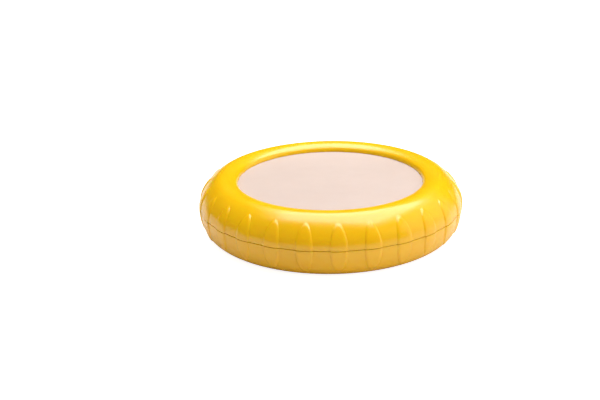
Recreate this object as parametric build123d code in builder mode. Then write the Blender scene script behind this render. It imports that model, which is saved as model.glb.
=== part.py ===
"""Round food-saver pod: two ribbed shells, a stretch window, and a lid that twists off.

Millimetres, +Z up. The origin is the centre of the face that the pod stands on, and +Z is
the axis that the lid turns about. Every round section is drawn as (radius, height) on XZ.
"""

import os
from math import radians, sin

from build123d import *

# ---- driving dimensions ----------------------------------------------------------------
BODY_R = 59.4  # widest radius of both shells, at the parting plane
WALL = 1.8  # wall of the moulded shells
FOOT_PROUD = 0.4  # how far the foot ring stands below the base shell
PARTING_GAP = 0.2  # shadow gap between the two shells
PARTING_EDGE = 0.2  # rounding of the two edges that face each other across it

# Outer outline, as (radius, degrees turned) arcs that leave the parting plane upright.
LID_ARCS = [(11.0, 28), (17.1, 30), (7.3, 32), (12.0, 23), (2.6, 67)]
BASE_ARCS = [(24.5, 19.4), (7.0, 70.6)]

MEMBRANE_RISE = 9.4  # top of the window above the parting plane
MEMBRANE_T = 0.9
BEAD_IN_R, BEAD_OUT_R = 43.9, 46.3  # rim bead, hooked behind the lid's inner lip
BEAD_H = 1.4

GRIPS = 26  # raised grips around each shell
FIRST_GRIP = -90  # degrees, so that one grip faces -Y
GRIP_HALF_W, GRIP_HALF_H = 3.75, 10.2  # half axes of the oval grip, seen from outside
GRIP_PROUD = 0.6
GRIP_SUNK = 0.5  # how deep a grip's root goes into the wall
GRIP_EDGE = 0.4  # rounding of a grip's outer edge

COLLAR_IN_R, COLLAR_OUT_R = 44.0, 46.0  # upright collar of the food dish
COLLAR_RISE = 5.5  # collar top above the parting plane
SKIRT_IN_R, SKIRT_OUT_R = 48.0, 49.8  # threaded skirt of the lid liner
STARTS = 6  # threads on the collar, and as many on the skirt
LEAD = 24.0  # rise of the lid in one full turn
THREAD_SWEEP = 25  # degrees that one thread runs
THREAD_ROOT_T, THREAD_TIP_T = 1.4, 0.9  # axial thickness at the wall and at the crest
THREAD_H = 1.4  # radial height
THREAD_SUNK = 0.4  # how deep a thread's root goes into its wall
THREAD_DROP = 1.15  # from a base thread down to the lid thread that hooks under it
THREAD_TOP_INSET = 0.7  # from the collar's top down to its threads

DISH_FLOOR_T = 1.8
DISH_CORNER = 3.0
DRAIN_RIB_R = [9.0, 18.0, 27.0, 36.0]
DRAIN_RIB_W, DRAIN_RIB_H = 1.6, 0.6
BASE_HOLE_R = 40.0  # hole in the base shell, under the dish
BASE_RING_T = 2.4  # thick ring around that hole
FOOT_IN_R, FOOT_OUT_R = 43.6, 47.4
FOOT_GROOVE = 1.0  # depth of the foot ring's groove
FOOT_PLAY = 0.1

FLANGE_T = 1.6  # flanges that close the hollow of each shell
FLANGE_R = BODY_R - WALL - 0.25
GUSSETS = 13  # ribs in each shell that carry its flange, between the grips
GUSSET_T = 1.4
GUSSET_IN_R, GUSSET_OUT_R = 53.5, 58.2  # its flat edge, the outer end inside the wall

LINER_IN_R = 41.8  # inner edge of the ring that grips the membrane from below
RIM_IN_R, RIM_OUT_R = 46.6, 48.1  # wall of the liner around the bead
RIM_H = 1.7
ROOF_RIB_IN_R, ROOF_RIB_OUT_R = 50.0, 51.6  # rib under the lid's roof that the skirt snaps in
SNAP_R = 0.35

SEAL_IN_R, SEAL_OUT_R = 43.6, 46.4
SEAL_T = 1.5
SEAL_PLAY = 0.1  # room around the seal in its groove, and over the collar
SEAL_ROUND = 0.45

# ---- heights and radii worked out from them --------------------------------------------
(upper_r, upper_turn), (lower_r, _) = BASE_ARCS
base_top_z = FOOT_PROUD + lower_r + (upper_r - lower_r) * sin(radians(upper_turn))
parting_z = base_top_z + PARTING_GAP / 2
lid_bottom_z = base_top_z + PARTING_GAP
membrane_top_z = parting_z + MEMBRANE_RISE
membrane_bottom_z = membrane_top_z - MEMBRANE_T
collar_top_z = parting_z + COLLAR_RISE
base_ring_z = FOOT_PROUD + BASE_RING_T
dish_floor_z = base_ring_z + DISH_FLOOR_T
liner_flange_z = lid_bottom_z + 0.15
dish_flange_z = base_top_z - 0.2
seal_bottom_z = collar_top_z + SEAL_PLAY
seal_top_z = seal_bottom_z + SEAL_T
thread_rise = LEAD * THREAD_SWEEP / 360
base_thread_z = collar_top_z - THREAD_TOP_INSET - (thread_rise + THREAD_ROOT_T) / 2
lid_thread_z = base_thread_z - THREAD_DROP
grip_pitch = 360 / GRIPS
roof_z = parting_z + 11.0  # inside the thickness of the lid's roof, over the roof rib

SECTION = Plane.XZ  # (radius, height)


def outline(start_z, turn, arcs, inset=0.0):
    """Tangent arcs that leave the parting edge upright: turn is 1 for the lid, -1 for the base."""
    at, heading, made = (BODY_R - inset, start_z), (0, turn), []
    for radius, degrees in arcs:
        made.append(JernArc(at, heading, radius - inset, turn * degrees))
        at, heading = made[-1] @ 1, made[-1] % 1
    return made


def band(start_z, turn, arcs, outer, inner):
    """Closed section between two insets of the outline, with straight ends."""
    with BuildSketch(SECTION) as section:
        with BuildLine():
            skin = outline(start_z, turn, arcs, outer)
            inside = outline(start_z, turn, arcs, inner)
            Line(skin[0] @ 0, inside[0] @ 0)
            Line(skin[-1] @ 1, inside[-1] @ 1)
        make_face()
    return section.sketch


def ring_section(inner_r, outer_r, low_z, high_z):
    """Rectangular section of a plain ring around Z."""
    with BuildSketch(SECTION) as section:
        with Locations(((inner_r + outer_r) / 2, (low_z + high_z) / 2)):
            Rectangle(outer_r - inner_r, high_z - low_z)
    return section.sketch


def make_grip(start_z, turn, arcs):
    """One raised oval grip, as it stands at +X: proud of the skin, cut out by a radial oval."""
    with BuildPart() as core:
        revolve(band(start_z, turn, arcs, 0, 2 * WALL), axis=Axis.Z)
    with BuildPart() as grip:
        revolve(band(start_z, turn, arcs, -GRIP_PROUD, GRIP_SUNK), axis=Axis.Z)
        with BuildSketch(Plane.YZ.offset(BODY_R - 4 * GRIP_HALF_W)):
            with Locations((0, parting_z)):
                Ellipse(GRIP_HALF_W, GRIP_HALF_H)
        extrude(amount=5 * GRIP_HALF_W, mode=Mode.INTERSECT)
        side = grip.faces().filter_by(GeomType.EXTRUSION)[0]
        rim = [
            edge
            for edge in side.edges()
            if edge.length > 2 * GRIP_PROUD and not core.part.is_inside(edge @ 0.5)
        ]
        fillet(rim, GRIP_EDGE)
    return grip.part


def make_gusset(flange_z, tip_r, tip_z):
    """One triangular rib inside a shell, along +X: flat on the flange, its tip in the wall."""
    with BuildPart() as gusset:
        with BuildSketch(SECTION):
            with BuildLine():
                Polyline((GUSSET_IN_R, flange_z), (GUSSET_OUT_R, flange_z), (tip_r, tip_z), close=True)
            make_face()
        extrude(amount=GUSSET_T / 2, both=True)
    return gusset.part


def make_thread(wall_r, outward, mid_z):
    """One short helical thread on a wall: mid_z is its height halfway along."""
    root_r = wall_r - THREAD_SUNK if outward else wall_r + THREAD_SUNK
    tip_r = wall_r + THREAD_H if outward else wall_r - THREAD_H
    low_z = mid_z - thread_rise / 2
    with BuildPart() as thread:
        with BuildLine() as path:
            Helix(pitch=LEAD, height=thread_rise, radius=wall_r, center=(0, 0, low_z))
        with BuildSketch(SECTION) as root:
            with BuildLine():
                Polyline(
                    (root_r, low_z - THREAD_ROOT_T / 2),
                    (tip_r, low_z - THREAD_TIP_T / 2),
                    (tip_r, low_z + THREAD_TIP_T / 2),
                    (root_r, low_z + THREAD_ROOT_T / 2),
                    close=True,
                )
            make_face()
        sweep(root.sketch, path=path.line, is_frenet=True)
    return thread.part


os.makedirs("parts", exist_ok=True)

# ---- lid ring: the ribbed outer shell of the lid ---------------------------------------
with BuildPart() as lid_ring:
    with BuildSketch(SECTION):
        with BuildLine():
            skin = outline(lid_bottom_z, 1, LID_ARCS)
            inside = outline(lid_bottom_z, 1, LID_ARCS, WALL)
            lip_out, lip_in = skin[-1] @ 1, inside[-1] @ 1
            Line(skin[0] @ 0, inside[0] @ 0)
            Polyline(lip_out, (lip_out.X, membrane_top_z), (lip_in.X, membrane_top_z), lip_in)
        make_face()
    revolve(axis=Axis.Z)
    parting_edge = lid_ring.edges().group_by(Axis.Z)[0].sort_by(SortBy.RADIUS)[-1]
    fillet(parting_edge, PARTING_EDGE)
    revolve(
        ring_section(ROOF_RIB_IN_R, ROOF_RIB_OUT_R, membrane_bottom_z - 3.0, roof_z), axis=Axis.Z
    )
    with BuildSketch(SECTION):
        with Locations((SKIRT_OUT_R + 0.1, membrane_bottom_z - 1.6)):
            Circle(SNAP_R + 0.1)
    revolve(axis=Axis.Z, mode=Mode.SUBTRACT)
    gusset = make_gusset(liner_flange_z + FLANGE_T, 56.0, liner_flange_z + 6.0)
    with PolarLocations(0, GUSSETS, start_angle=FIRST_GRIP + grip_pitch / 2):
        add(gusset)
    grip = make_grip(lid_bottom_z, 1, LID_ARCS[:2])
    with PolarLocations(0, GRIPS, start_angle=FIRST_GRIP):
        add(grip)
lid_ring.part.label = "lid_ring"
export_step(lid_ring.part, "parts/lid_ring.step")

# ---- membrane: the stretch window, with a rim bead -------------------------------------
with BuildPart() as membrane:
    with Locations((0, 0, membrane_bottom_z)):
        Cylinder(BEAD_OUT_R, MEMBRANE_T, align=(Align.CENTER, Align.CENTER, Align.MIN))
    revolve(
        ring_section(BEAD_IN_R, BEAD_OUT_R, membrane_bottom_z, membrane_bottom_z + BEAD_H), axis=Axis.Z
    )
    fillet(membrane.edges().group_by(Axis.Z)[-1], 0.4)
membrane.part.label = "membrane"
export_step(membrane.part, "parts/membrane.step")

# ---- lid liner: grips the membrane, closes the lid's hollow and carries the lid threads -
with BuildPart() as lid_liner:
    groove_top_z = seal_top_z + SEAL_PLAY
    with BuildSketch(SECTION):
        with BuildLine():
            Polyline(
                (LINER_IN_R, membrane_bottom_z),
                (LINER_IN_R, collar_top_z + 0.5),
                (SEAL_IN_R - SEAL_PLAY, collar_top_z + 0.5),
                (SEAL_IN_R - SEAL_PLAY, groove_top_z),
                (SEAL_OUT_R + SEAL_PLAY, groove_top_z),
                (SEAL_OUT_R + SEAL_PLAY, collar_top_z + 0.5),
                (SKIRT_IN_R, collar_top_z + 0.5),
                (SKIRT_IN_R, liner_flange_z),
                (FLANGE_R, liner_flange_z),
                (FLANGE_R, liner_flange_z + FLANGE_T),
                (SKIRT_OUT_R, liner_flange_z + FLANGE_T),
                (SKIRT_OUT_R, membrane_bottom_z),
                (RIM_OUT_R, membrane_bottom_z),
                (RIM_OUT_R, membrane_bottom_z + RIM_H),
                (RIM_IN_R, membrane_bottom_z + RIM_H),
                (RIM_IN_R, membrane_bottom_z),
                close=True,
            )
        make_face()
    revolve(axis=Axis.Z)
    entry_edges = lid_liner.edges().group_by(Axis.Z)[0].sort_by(SortBy.RADIUS)
    fillet(entry_edges[0], 0.5)
    fillet(lid_liner.edges().group_by(Axis.Z)[-1], 0.4)
    with BuildSketch(SECTION):
        with Locations((SKIRT_OUT_R, membrane_bottom_z - 1.6)):
            Circle(SNAP_R)
    revolve(axis=Axis.Z)
    lid_thread = make_thread(SKIRT_IN_R, False, lid_thread_z)
    with PolarLocations(0, STARTS, start_angle=FIRST_GRIP):
        add(lid_thread)
lid_liner.part.label = "lid_liner"
export_step(lid_liner.part, "parts/lid_liner.step")

# ---- seal ring: sits in the liner's groove and lands on the collar ---------------------
with BuildPart() as seal_ring:
    revolve(ring_section(SEAL_IN_R, SEAL_OUT_R, seal_bottom_z, seal_top_z), axis=Axis.Z)
    fillet(seal_ring.edges(), SEAL_ROUND)
seal_ring.part.label = "seal_ring"
export_step(seal_ring.part, "parts/seal_ring.step")

# ---- food dish: floor, collar with the base threads, and the flange over the hollow ----
with BuildPart() as food_dish:
    with BuildSketch(SECTION):
        with BuildLine():
            Polyline(
                (0, base_ring_z),
                (COLLAR_OUT_R, base_ring_z),
                (COLLAR_OUT_R, dish_flange_z - FLANGE_T),
                (FLANGE_R, dish_flange_z - FLANGE_T),
                (FLANGE_R, dish_flange_z),
                (COLLAR_OUT_R, dish_flange_z),
                (COLLAR_OUT_R, collar_top_z),
                (COLLAR_IN_R, collar_top_z),
                (COLLAR_IN_R, dish_floor_z),
                (0, dish_floor_z),
                close=True,
            )
        make_face()
    revolve(axis=Axis.Z)
    inner_corner = food_dish.edges().filter_by_position(Axis.Z, dish_floor_z, dish_floor_z)
    fillet(inner_corner.filter_by(GeomType.CIRCLE), DISH_CORNER)
    fillet(food_dish.edges().group_by(Axis.Z)[-1], 0.6)
    for rib_r in DRAIN_RIB_R:
        half = DRAIN_RIB_W / 2
        revolve(
            ring_section(rib_r - half, rib_r + half, base_ring_z, dish_floor_z + DRAIN_RIB_H),
            axis=Axis.Z,
        )
    rib_tops = food_dish.edges().filter_by_position(
        Axis.Z, dish_floor_z + DRAIN_RIB_H, dish_floor_z + DRAIN_RIB_H
    )
    fillet(rib_tops.filter_by(lambda edge: edge.radius < BASE_HOLE_R), DRAIN_RIB_H * 0.6)
    base_thread = make_thread(COLLAR_OUT_R, True, base_thread_z)
    with PolarLocations(0, STARTS, start_angle=FIRST_GRIP):
        add(base_thread)
food_dish.part.label = "food_dish"
export_step(food_dish.part, "parts/food_dish.step")

# ---- base shell: the ribbed outer shell of the base ------------------------------------
with BuildPart() as base_shell:
    with BuildSketch(SECTION):
        with BuildLine():
            skin = outline(base_top_z, -1, BASE_ARCS)
            inside = outline(base_top_z, -1, BASE_ARCS, WALL)
            low_out, low_in = skin[-1] @ 1, inside[-1] @ 1
            Line(skin[0] @ 0, inside[0] @ 0)
            Polyline(
                low_out,
                (BASE_HOLE_R, low_out.Y),
                (BASE_HOLE_R, base_ring_z),
                (low_in.X, base_ring_z),
                low_in,
            )
        make_face()
    revolve(axis=Axis.Z)
    parting_edge = base_shell.edges().group_by(Axis.Z)[-1].sort_by(SortBy.RADIUS)[-1]
    fillet(parting_edge, PARTING_EDGE)
    revolve(
        ring_section(
            FOOT_IN_R - FOOT_PLAY, FOOT_OUT_R + FOOT_PLAY, FOOT_PROUD - 1, FOOT_PROUD + FOOT_GROOVE
        ),
        axis=Axis.Z,
        mode=Mode.SUBTRACT,
    )
    gusset = make_gusset(dish_flange_z - FLANGE_T, 57.5, dish_flange_z - 5.6)
    with PolarLocations(0, GUSSETS, start_angle=FIRST_GRIP + grip_pitch / 2):
        add(gusset)
    grip = make_grip(base_top_z, -1, BASE_ARCS)
    with PolarLocations(0, GRIPS, start_angle=FIRST_GRIP):
        add(grip)
base_shell.part.label = "base_shell"
export_step(base_shell.part, "parts/base_shell.step")

# ---- foot ring: soft ring the pod stands on --------------------------------------------
with BuildPart() as foot_ring:
    revolve(ring_section(FOOT_IN_R, FOOT_OUT_R, 0, FOOT_PROUD + FOOT_GROOVE), axis=Axis.Z)
    fillet(foot_ring.edges().group_by(Axis.Z)[0], 0.4)
foot_ring.part.label = "foot_ring"
export_step(foot_ring.part, "parts/foot_ring.step")
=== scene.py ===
"""Food saver pod: two gloss yellow shells with raised oval grips around a frosted window.

Metres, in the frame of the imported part: the pod stands on z = 0, and its lid turns about +Z.
Both shells and the window are remade as dense meshes. The hidden mouldings keep their solids.
"""

from math import asin, cos, hypot, pi, radians, sin, sqrt

import bmesh
import bpy
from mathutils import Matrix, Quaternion, Vector


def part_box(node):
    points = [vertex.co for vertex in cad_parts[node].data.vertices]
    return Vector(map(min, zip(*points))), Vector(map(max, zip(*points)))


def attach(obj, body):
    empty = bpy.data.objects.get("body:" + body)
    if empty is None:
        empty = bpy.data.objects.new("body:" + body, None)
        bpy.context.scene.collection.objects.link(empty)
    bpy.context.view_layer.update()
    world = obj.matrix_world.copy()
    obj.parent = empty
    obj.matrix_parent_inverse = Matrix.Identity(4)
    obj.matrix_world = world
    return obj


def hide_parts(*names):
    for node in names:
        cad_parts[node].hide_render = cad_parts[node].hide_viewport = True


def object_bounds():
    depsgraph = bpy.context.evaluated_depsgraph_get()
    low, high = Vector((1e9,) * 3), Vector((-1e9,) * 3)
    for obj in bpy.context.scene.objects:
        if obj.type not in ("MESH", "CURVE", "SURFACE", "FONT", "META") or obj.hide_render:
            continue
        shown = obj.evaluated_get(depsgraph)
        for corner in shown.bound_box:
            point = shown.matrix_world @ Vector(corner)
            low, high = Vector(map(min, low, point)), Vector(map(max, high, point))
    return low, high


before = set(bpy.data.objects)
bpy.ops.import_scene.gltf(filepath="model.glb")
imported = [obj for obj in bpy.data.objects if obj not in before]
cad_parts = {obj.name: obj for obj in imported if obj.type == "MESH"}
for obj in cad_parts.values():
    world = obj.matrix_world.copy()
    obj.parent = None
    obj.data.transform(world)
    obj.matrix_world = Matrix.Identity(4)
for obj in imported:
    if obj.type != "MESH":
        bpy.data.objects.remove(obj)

cad_low, cad_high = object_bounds()
MM = 0.001

# ---- driving dimensions, in metres -----------------------------------------------------
shell_low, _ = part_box("lid_ring")
_, base_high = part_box("base_shell")
window_low, window_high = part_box("membrane")

PARTING_Z = (shell_low.z + base_high.z) / 2
SOLID_GRIP_PROUD = 0.6 * MM
BODY_R = cad_high.y - SOLID_GRIP_PROUD
WALL = 1.8 * MM
EDGE_R = 0.14 * MM  # rounding of the edges that face each other at the parting line
HAIR = 0.01 * MM  # how far the remade skins stay inside their solids
SMALL_R = 0.25 * MM  # rounding of the other moulded edges
CORNER_STEPS = 4

# Outline of each shell, as (radius, degrees turned) arcs that leave the parting plane upright.
LID_ARCS = [(11.0 * MM, 28), (17.1 * MM, 30), (7.3 * MM, 32), (12.0 * MM, 23), (2.6 * MM, 67)]
BASE_ARCS = [(24.5 * MM, 19.4), (7.0 * MM, 70.6)]

GRIPS = 26
FIRST_GRIP = -pi / 2  # one grip faces -Y
GRIP_HALF_W = 3.75 * MM
GRIP_HALF_H = 10.2 * MM
GRIP_PROUD = 0.52 * MM  # at the crown of the remade grip, a little under the solid's
GRIP_EDGE = 1.15 * MM  # width of the rounded slope around a grip
GRIP_CROWN = 0.25  # how much of its height a grip loses from its middle to its rim
GRIP_TIP_FADE = 0.25  # and from its middle to its tips
GRIP_SHOULDER = 2.4  # how fast its edge slope levels out
ROW_STEP = 0.36 * MM  # spacing of the mesh rows along a shell's outside
INSIDE_STEP = 1.2 * MM  # and along its inside
EDGE_STEPS = 5

MEMBRANE_T = 0.9 * MM
BEAD_IN_R = 43.9 * MM
BEAD_OUT_R = window_high.x
MEMBRANE_TOP_Z = window_low.z + MEMBRANE_T
MEMBRANE_SAG = 0.22 * MM
SAG_R = 41.0 * MM  # the window sags inside this radius
MEMBRANE_STEP = 1.5 * MM
MEMBRANE_COLUMNS = 256

FOOT_IN_R, FOOT_OUT_R = 43.5 * MM, 47.5 * MM  # groove for the foot ring
FOOT_GROOVE = 1.0 * MM
BASE_HOLE_R = 40.0 * MM
BASE_RING_T = 2.4 * MM

STUDIO_FILL = 0.42  # brightness of the studio around the object
STUDIO_GLOSS = 0.02  # and of the same studio where a glossy surface mirrors it
FLOOR_GLOW = 0.88  # light that the floor gives off, which only the camera sees
FLOOR_HALF = 6.0


# ---- mesh tools ------------------------------------------------------------------------
def skin_rows(start_z, side, arcs, inset, step):
    """(place, outward normal) pairs in (radius, height) along tangent arcs.

    The first arc leaves the parting edge upright. side is 1 for the lid and -1 for the base.
    """
    rows = []
    centre = Vector((BODY_R - arcs[0][0], start_z))
    angle = 0
    for index, (radius, turn) in enumerate(arcs):
        steps = max(3, round(radius * radians(turn) / step))
        for i in range(0 if index == 0 else 1, steps + 1):
            now = radians(angle + turn * i / steps)
            out = Vector((cos(now), side * sin(now)))
            rows.append((centre + out * (radius - inset), out))
        angle += turn
        if index + 1 < len(arcs):
            centre = centre + out * (radius - arcs[index + 1][0])
    return rows


def round_corner(before, corner, after, radius):
    """Points of the arc that replaces a corner between two straight runs."""
    to_before = (before - corner).normalized()
    to_after = (after - corner).normalized()
    half = to_before.angle(to_after) / 2
    reach = radius / max(abs(sin(half) / cos(half)), 1e-6)
    middle = corner + (to_before + to_after).normalized() * (radius / sin(half))
    start = corner + to_before * reach - middle
    end = corner + to_after * reach - middle
    made = []
    for i in range(CORNER_STEPS + 1):
        made.append(middle + start.lerp(end, i / CORNER_STEPS).normalized() * radius)
    return made


def rounded_run(points, radius):
    """The points of an open run, with each inner corner rounded."""
    made = [points[0]]
    for before, corner, after in zip(points, points[1:], points[2:]):
        made += round_corner(before, corner, after, radius)
    made.append(points[-1])
    return made


def densify(points, step):
    """The same run with extra points wherever two neighbours are further apart than step."""
    made = [points[0]]
    for a, b in zip(points, points[1:]):
        steps = max(1, round((b - a).length / step))
        made += [a.lerp(b, i / steps) for i in range(1, steps + 1)]
    return made


def mesh_object(name, vertices, faces):
    """A smooth-shaded object with outward normals from plain lists."""
    mesh = bpy.data.meshes.new(name)
    mesh.from_pydata(vertices, [], faces)
    work = bmesh.new()
    work.from_mesh(mesh)
    bmesh.ops.remove_doubles(work, verts=work.verts, dist=1e-7)
    bmesh.ops.recalc_face_normals(work, faces=work.faces)
    for face in work.faces:
        face.smooth = True
    work.to_mesh(mesh)
    work.free()
    made = bpy.data.objects.new(name, mesh)
    bpy.context.scene.collection.objects.link(made)
    return made


# ---- raised grips ----------------------------------------------------------------------
def grip_rise(across, along):
    """How far a grip stands out at a place measured from its middle."""
    out = hypot(across / GRIP_HALF_W, along / GRIP_HALF_H)
    if out >= 1:
        return 0.0
    slope = hypot(across / GRIP_HALF_W**2, along / GRIP_HALF_H**2) / max(out, 1e-6)
    inward = (1 - out) / max(slope, 1 / GRIP_HALF_H)
    climb = min(inward / GRIP_EDGE, 1)
    fade = 1 - GRIP_TIP_FADE * abs(along / GRIP_HALF_H) ** 3
    shoulder = 1 - (1 - climb) ** GRIP_SHOULDER
    return GRIP_PROUD * fade * shoulder * (1 - GRIP_CROWN * out * out)


# Places of the mesh columns over half a grip: its core, its rim, and out to the border.
CORE_SHARES = (0.0, 0.4, 0.75, 1.0)
RIM_OFFSETS = tuple(o * MM for o in (-0.78, -0.6, -0.44, -0.3, -0.18, -0.08, 0.0, 0.12))
BORDER_SHARES = (0.14, 0.32, 0.54, 0.77)
CORE_INSET = 0.98 * MM
NARROWEST = 1.35 * MM  # least half width that the columns follow at a grip's tips


def half_columns(along, radius):
    """Distances from a grip's middle at which mesh columns pass, out to the next grip's half.

    They crowd along the grip's rim, so that its slope is drawn by whole faces.
    """
    oval_w = GRIP_HALF_W * sqrt(1 - min(abs(along) / GRIP_HALF_H, 1) ** 2)
    half_w = (oval_w**8 + NARROWEST**8) ** (1 / 8)
    core = half_w - CORE_INSET
    edge = half_w + RIM_OFFSETS[-1]
    limit = radius * sin(pi / GRIPS)
    return (
        [core * share for share in CORE_SHARES]
        + [half_w + offset for offset in RIM_OFFSETS]
        + [edge + (limit - edge) * share for share in BORDER_SHARES]
    )


def ribbed_ring(name, rows):
    """A closed ring from rows (place, push direction, grip weight) that run round its section."""
    vertices = []
    for place, push, weight in rows:
        along = place.y - PARTING_Z
        half = half_columns(along, place.x)
        offsets = [-x for x in reversed(half[1:])] + half
        for grip in range(GRIPS):
            middle = FIRST_GRIP + 2 * pi * grip / GRIPS
            border = middle - pi / GRIPS
            vertices.append((place.x * cos(border), place.x * sin(border), place.y))
            for across in offsets:
                rise = grip_rise(across, along) * weight if weight else 0.0
                r, z = place + push * rise
                angle = middle + asin(across / place.x)
                vertices.append((r * cos(angle), r * sin(angle), z))
    columns = len(vertices) // len(rows)
    faces = []
    for i in range(len(rows)):
        this_row = i * columns
        next_row = (i + 1) % len(rows) * columns
        for j in range(columns):
            k = (j + 1) % columns
            faces.append((this_row + j, this_row + k, next_row + k, next_row + j))
    return mesh_object(name, vertices, faces)


def parting_edge(start_z, side):
    """Rows that turn from the flat parting face into the skin, with the grips carried along."""
    rows = []
    for i in range(EDGE_STEPS):
        angle = radians(90 * i / EDGE_STEPS)
        r = BODY_R - EDGE_R + EDGE_R * sin(angle)
        z = start_z + side * EDGE_R * (1 - cos(angle))
        rows.append((Vector((r, z)), Vector((1, 0)), 1))
    return rows


def outer_skin(start_z, side, arcs):
    """Rows of a shell's outside, from the rounded parting edge to the end of its arcs."""
    rows = parting_edge(start_z, side)
    for place, out in skin_rows(start_z, side, arcs, HAIR, ROW_STEP):
        if side * (place.y - start_z) >= EDGE_R * 0.99:
            rows.append((place, out, 1))
    return rows


def plain_rows(points):
    """Rows that no grip moves."""
    return [(point, Vector((0, 0)), 0) for point in points]


# ---- the three remade pieces -----------------------------------------------------------
def make_lid_ring():
    """The lid's shell, with the flat under its lip that the window's top meets."""
    skin = outer_skin(shell_low.z, 1, LID_ARCS)
    lip, _, _ = skin[-1]
    inside = [place for place, _ in skin_rows(shell_low.z, 1, LID_ARCS, WALL, INSIDE_STEP)]
    seat = [Vector((lip.x, MEMBRANE_TOP_Z)), Vector((inside[-1].x, MEMBRANE_TOP_Z))]
    rows = skin + plain_rows(seat) + plain_rows(reversed(inside))
    return ribbed_ring("lid_ring_skin", rows)


def make_base_shell():
    """The base's shell, with its thick bottom ring and the foot ring's groove."""
    skin = outer_skin(base_high.z, -1, BASE_ARCS)
    under, _, _ = skin[-1]
    inside = [place for place, _ in skin_rows(base_high.z, -1, BASE_ARCS, WALL, INSIDE_STEP)]
    groove_z = under.y + FOOT_GROOVE
    ring_z = under.y + BASE_RING_T
    bottom = rounded_run(
        [
            under,
            Vector((FOOT_OUT_R, under.y)),
            Vector((FOOT_OUT_R, groove_z)),
            Vector((FOOT_IN_R, groove_z)),
            Vector((FOOT_IN_R, under.y)),
            Vector((BASE_HOLE_R, under.y)),
            Vector((BASE_HOLE_R, ring_z)),
            Vector((inside[-1].x, ring_z)),
            inside[-1],
        ],
        SMALL_R,
    )
    rows = skin + plain_rows(bottom[1:]) + plain_rows(reversed(inside[:-1]))
    return ribbed_ring("base_shell_skin", rows)


def make_membrane():
    """The window: a thin disc that sags a little, with its rim bead."""
    top, low, bead_top = MEMBRANE_TOP_Z, window_low.z, window_high.z
    section = rounded_run(
        [
            Vector((0, low)),
            Vector((BEAD_OUT_R, low)),
            Vector((BEAD_OUT_R, bead_top)),
            Vector((BEAD_IN_R, bead_top)),
            Vector((BEAD_IN_R, top)),
            Vector((0, top)),
        ],
        SMALL_R,
    )
    section = densify(section, MEMBRANE_STEP)
    columns = MEMBRANE_COLUMNS
    vertices = []
    for point in section:
        free = max(0.0, 1 - (point.x / SAG_R) ** 2)
        z = point.y - MEMBRANE_SAG * free
        for j in range(columns):
            angle = 2 * pi * j / columns
            vertices.append((point.x * cos(angle), point.x * sin(angle), z))
    faces = []
    for i in range(len(section) - 1):
        for j in range(columns):
            k = (j + 1) % columns
            a, b = i * columns, (i + 1) * columns
            faces.append((a + j, a + k, b + k, b + j))
    return mesh_object("stretch_window", vertices, faces)


# ---- materials -------------------------------------------------------------------------
def new_material(name):
    made = bpy.data.materials.new(name)
    made.use_nodes = True
    tree = made.node_tree
    return made, tree, tree.nodes["Principled BSDF"]


def noise(tree, scale, detail=3.0, stretch=(1, 1, 1)):
    """A noise texture fixed to the piece, its scale in features per metre."""
    coords = tree.nodes.new("ShaderNodeTexCoord")
    mapping = tree.nodes.new("ShaderNodeMapping")
    mapping.inputs["Scale"].default_value = stretch
    texture = tree.nodes.new("ShaderNodeTexNoise")
    texture.inputs["Scale"].default_value = scale
    texture.inputs["Detail"].default_value = detail
    tree.links.new(coords.outputs["Object"], mapping.inputs["Vector"])
    tree.links.new(mapping.outputs["Vector"], texture.inputs["Vector"])
    return texture.outputs["Fac"]


def ramp(tree, value, stops):
    """A colour ramp from (position, colour) stops."""
    node = tree.nodes.new("ShaderNodeValToRGB")
    elements = node.color_ramp.elements
    while len(elements) < len(stops):
        elements.new(0.5)
    for element, (position, colour) in zip(elements, stops):
        element.position = position
        element.color = (*colour, 1)
    tree.links.new(value, node.inputs["Fac"])
    return node.outputs["Color"]


def spread(tree, value, low, high):
    """Maps a noise value's middle range onto low to high."""
    node = tree.nodes.new("ShaderNodeMapRange")
    node.inputs["From Min"].default_value = 0.3
    node.inputs["From Max"].default_value = 0.7
    node.inputs["To Min"].default_value = low
    node.inputs["To Max"].default_value = high
    tree.links.new(value, node.inputs["Value"])
    return node.outputs["Result"]


def scaled_sum(tree, value, scale, offset):
    """A node for value * scale + offset, where the offset is a socket or a number."""
    node = tree.nodes.new("ShaderNodeMath")
    node.operation = "MULTIPLY_ADD"
    tree.links.new(value, node.inputs[0])
    node.inputs[1].default_value = scale
    if isinstance(offset, float):
        node.inputs[2].default_value = offset
    else:
        tree.links.new(offset, node.inputs[2])
    return node.outputs["Value"]


def bump(tree, shader, height, distance):
    node = tree.nodes.new("ShaderNodeBump")
    node.inputs["Distance"].default_value = distance
    tree.links.new(height, node.inputs["Height"])
    tree.links.new(node.outputs["Normal"], shader.inputs["Normal"])


def shell_yellow():
    """Gloss moulded plastic with a little depth, faint mould texture and handling haze."""
    made, tree, shader = new_material("shell_yellow")
    tint = ramp(
        tree,
        noise(tree, 38, 4),
        [(0.3, (0.76, 0.425, 0.0006)), (0.7, (0.79, 0.450, 0.0008))],
    )
    tree.links.new(tint, shader.inputs["Base Color"])
    haze = spread(tree, noise(tree, 90, 5, (1, 1, 2.5)), 0.18, 0.25)
    tree.links.new(haze, shader.inputs["Roughness"])
    bump(tree, shader, noise(tree, 1400, 2), 0.004 * MM)
    shader.inputs["IOR"].default_value = 1.6
    shader.inputs["Subsurface Weight"].default_value = 0.3
    shader.inputs["Subsurface Radius"].default_value = (1.0, 0.35, 0.03)
    shader.inputs["Subsurface Scale"].default_value = 2.5 * MM
    return made


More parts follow.
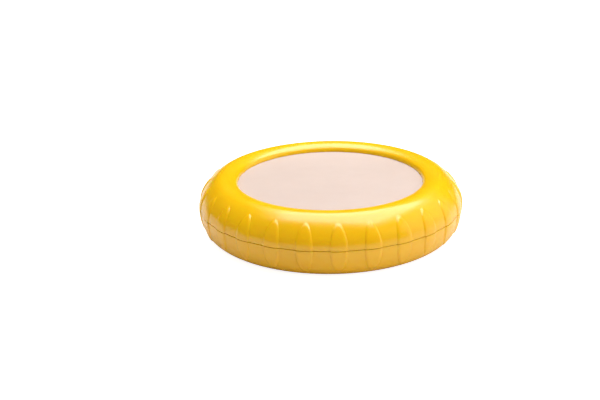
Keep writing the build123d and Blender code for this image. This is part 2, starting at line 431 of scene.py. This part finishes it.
def liner_yellow():
    """The satin inner mouldings."""
    made, tree, shader = new_material("liner_yellow")
    tint = ramp(
        tree,
        noise(tree, 60, 4),
        [(0.3, (0.86, 0.49, 0.006)), (0.7, (0.90, 0.53, 0.008))],
    )
    tree.links.new(tint, shader.inputs["Base Color"])
    tree.links.new(spread(tree, noise(tree, 220, 4), 0.38, 0.48), shader.inputs["Roughness"])
    bump(tree, shader, noise(tree, 2600, 3), 0.01 * MM)
    shader.inputs["Subsurface Weight"].default_value = 0.1
    shader.inputs["Subsurface Radius"].default_value = (1.0, 0.45, 0.05)
    shader.inputs["Subsurface Scale"].default_value = 1.2 * MM
    return made


def window_silicone():
    """Frosted, milky silicone. The faint peach cast in its base colour is a painted reflection of
    warm surroundings.
    """
    made, tree, shader = new_material("window_silicone")
    # Painted reflection: the peach in these colours stands in for warm light the window mirrors;
    # the milky pale tone is the silicone's own.
    tint = ramp(
        tree,
        noise(tree, 24, 5),
        [(0.3, (0.485, 0.385, 0.335)), (0.7, (0.52, 0.415, 0.365))],
    )
    tree.links.new(tint, shader.inputs["Base Color"])
    tree.links.new(spread(tree, noise(tree, 160, 5), 0.46, 0.56), shader.inputs["Roughness"])
    bump(tree, shader, noise(tree, 3200, 4), 0.012 * MM)
    shader.inputs["IOR"].default_value = 1.41
    shader.inputs["Subsurface Weight"].default_value = 0.35
    shader.inputs["Subsurface Radius"].default_value = (1.0, 0.75, 0.6)
    shader.inputs["Subsurface Scale"].default_value = 1.5 * MM
    return made


def seal_silicone():
    made, tree, shader = new_material("seal_silicone")
    tint = ramp(tree, noise(tree, 80, 4), [(0.3, (0.78, 0.76, 0.70)), (0.7, (0.84, 0.82, 0.77))])
    tree.links.new(tint, shader.inputs["Base Color"])
    tree.links.new(spread(tree, noise(tree, 300, 4), 0.42, 0.55), shader.inputs["Roughness"])
    bump(tree, shader, noise(tree, 3000, 3), 0.01 * MM)
    return made


def foot_rubber():
    made, tree, shader = new_material("foot_rubber")
    tint = ramp(tree, noise(tree, 120, 5), [(0.3, (0.60, 0.30, 0.008)), (0.7, (0.68, 0.36, 0.012))])
    tree.links.new(tint, shader.inputs["Base Color"])
    tree.links.new(spread(tree, noise(tree, 400, 5), 0.6, 0.75), shader.inputs["Roughness"])
    bump(tree, shader, noise(tree, 2200, 4), 0.02 * MM)
    return made


def floor_painted_bounce():
    """A floor that the camera sees overexposed, so hardly any shadow is left. Its warm base colour
    is painted bounce light.
    """
    made, tree, shader = new_material("floor_painted_bounce")
    # Painted bounce light: this warm base colour stands in for the yellow light the shells throw
    # onto the floor and get back on their lower walls.
    shader.inputs["Base Color"].default_value = (0.73, 0.65, 0.57, 1)
    shader.inputs["Roughness"].default_value = 0.9
    shader.inputs["Specular IOR Level"].default_value = 0.1
    shader.inputs["Emission Color"].default_value = (1, 1, 1, 1)
    ray = tree.nodes.new("ShaderNodeLightPath")
    glow = scaled_sum(tree, ray.outputs["Is Camera Ray"], FLOOR_GLOW, 0.0)
    tree.links.new(glow, shader.inputs["Emission Strength"])
    return made


LOOKS = {
    "shell_yellow": shell_yellow(),
    "liner_yellow": liner_yellow(),
    "window_silicone": window_silicone(),
    "seal_silicone": seal_silicone(),
    "foot_rubber": foot_rubber(),
}


# ---- pieces on their bodies ------------------------------------------------------------
def place_piece(piece, node, body, slot):
    """A remade piece stands for its CAD node and wears that node's material slot."""
    piece.data.materials.append(LOOKS[slot])
    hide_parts(node)
    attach(piece, body)


def repaint(node, slot):
    """A CAD node that keeps its shape gets the better material."""
    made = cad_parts[node]
    made.data.materials.clear()
    made.data.materials.append(LOOKS[slot])


place_piece(make_lid_ring(), "lid_ring", "lid", "shell_yellow")
place_piece(make_membrane(), "membrane", "lid", "window_silicone")
place_piece(make_base_shell(), "base_shell", "base", "shell_yellow")
repaint("lid_liner", "liner_yellow")
repaint("food_dish", "liner_yellow")
repaint("seal_ring", "seal_silicone")
repaint("foot_ring", "foot_rubber")


# ---- studio ----------------------------------------------------------------------------
def make_floor():
    corners = [(-1, -1), (1, -1), (1, 1), (-1, 1)]
    mesh = bpy.data.meshes.new("studio_floor")
    mesh.from_pydata([(x * FLOOR_HALF, y * FLOOR_HALF, 0) for x, y in corners], [], [(0, 1, 2, 3)])
    floor = bpy.data.objects.new("studio_floor", mesh)
    floor.data.materials.append(floor_painted_bounce())
    bpy.context.scene.collection.objects.link(floor)


def soft_box(name, place, target, size, watts, turn=0.0, mirrored=True):
    """A rectangular area lamp that faces a target, turned about its own axis by degrees.

    A lamp that isn't mirrored lights the object without showing in its gloss.
    """
    data = bpy.data.lights.new(name, "AREA")
    data.shape = "RECTANGLE"
    data.size, data.size_y = size
    data.energy = watts
    lamp = bpy.data.objects.new(name, data)
    lamp.location = place
    lamp.rotation_mode = "QUATERNION"
    aim = (Vector(target) - Vector(place)).to_track_quat("-Z", "Y")
    lamp.rotation_quaternion = aim @ Quaternion((0, 0, 1), radians(turn))
    lamp.visible_glossy = mirrored
    bpy.context.scene.collection.objects.link(lamp)


def make_world():
    """A dark studio with a weak fill. The camera itself sees plain white."""
    world = bpy.data.worlds.new("studio_air")
    world.use_nodes = True
    tree = world.node_tree
    ray = tree.nodes.new("ShaderNodeLightPath")
    dimmed = scaled_sum(tree, ray.outputs["Is Glossy Ray"], STUDIO_GLOSS - STUDIO_FILL, STUDIO_FILL)
    strength = scaled_sum(tree, ray.outputs["Is Camera Ray"], 1 - STUDIO_FILL, dimmed)
    tree.links.new(strength, tree.nodes["Background"].inputs["Strength"])
    tree.nodes["Background"].inputs["Color"].default_value = (1, 1, 1, 1)
    bpy.context.scene.world = world


def make_camera():
    """The camera of the photograph, found from the outlines of the body and of the window."""
    azimuth, elevation, roll = radians(-3.2), radians(20.68), radians(0.62)
    aside, above = radians(1.698), radians(-0.004)  # how far it looks past the pod's middle
    distance = 7.86 * BODY_R
    data = bpy.data.cameras.new("photo_camera")
    data.sensor_width = 36.0
    data.lens = 61.146
    data.clip_start, data.clip_end = 0.01, 50
    camera = bpy.data.objects.new("photo_camera", data)
    target = Vector((0, 0, PARTING_Z))
    back = Vector((sin(azimuth) * cos(elevation), -cos(azimuth) * cos(elevation), sin(elevation)))
    camera.location = target + back * distance
    straight = (-back).to_track_quat("-Z", "Y")
    turn = Quaternion((0, 1, 0), aside) @ Quaternion((1, 0, 0), -above)
    camera.rotation_mode = "QUATERNION"
    camera.rotation_quaternion = straight @ turn @ Quaternion((0, 0, 1), -roll)
    bpy.context.scene.collection.objects.link(camera)
    bpy.context.scene.camera = camera


make_floor()
make_world()
soft_box("overhead", (0.21, 0.30, 0.95), (0.21, 0.30, 0), (1.05, 1.15), 13.5, turn=-20)
soft_box("overhead_rim", (0.21, 0.28, 0.96), (0.21, 0.28, 0), (1.40, 1.42), 6.5, turn=-20)
soft_box("right_card", (1.3, 0.1, 0.5), (0, 0, 0), (1.6, 1.2), 3.6)
soft_box("right_fill", (0.9, -0.6, 0.5), (0, 0, 0), (0.8, 0.8), 3.0, mirrored=False)
make_camera()
bpy.context.scene.view_settings.view_transform = "Standard"
